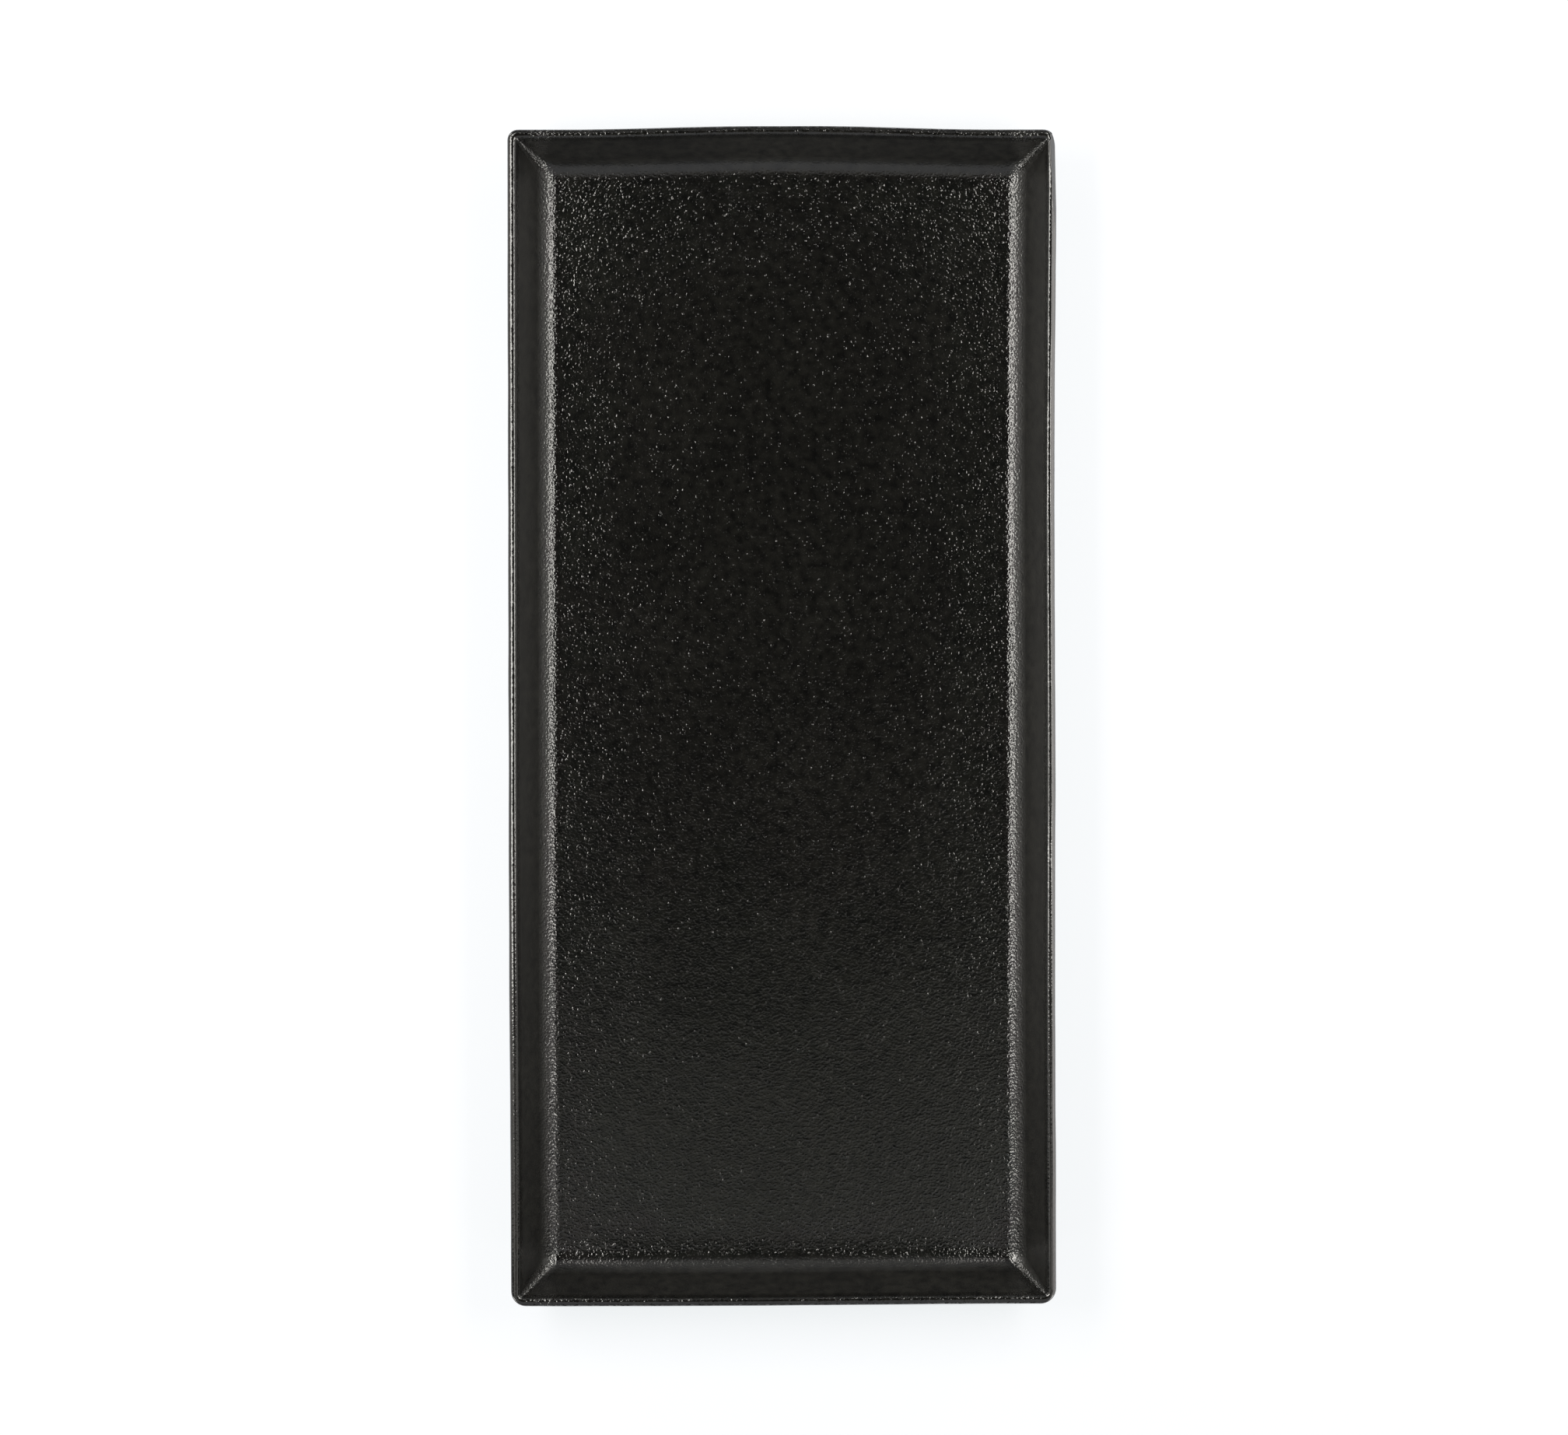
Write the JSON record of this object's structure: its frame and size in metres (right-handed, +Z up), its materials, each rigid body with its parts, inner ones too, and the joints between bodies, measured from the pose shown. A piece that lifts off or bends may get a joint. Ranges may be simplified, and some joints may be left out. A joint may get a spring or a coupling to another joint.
{
  "type": "rectangular serving platter",
  "caption": "Long rectangular porcelain serving platter with a flat well, sloping walls, a round lip and a foot ring, in black pebbled satin glaze.",
  "frame": {"origin": "on the table, under the middle of the platter", "axes": "+Z up out of the well, +Y along the length towards the end that bows out slightly, +X across the width"},
  "size_m": [0.165, 0.3562, 0.022],
  "materials": {
    "glaze": "satin"
  },
  "bodies": {
    "root": {"platter": "glaze"}
  },
  "joints": []
}
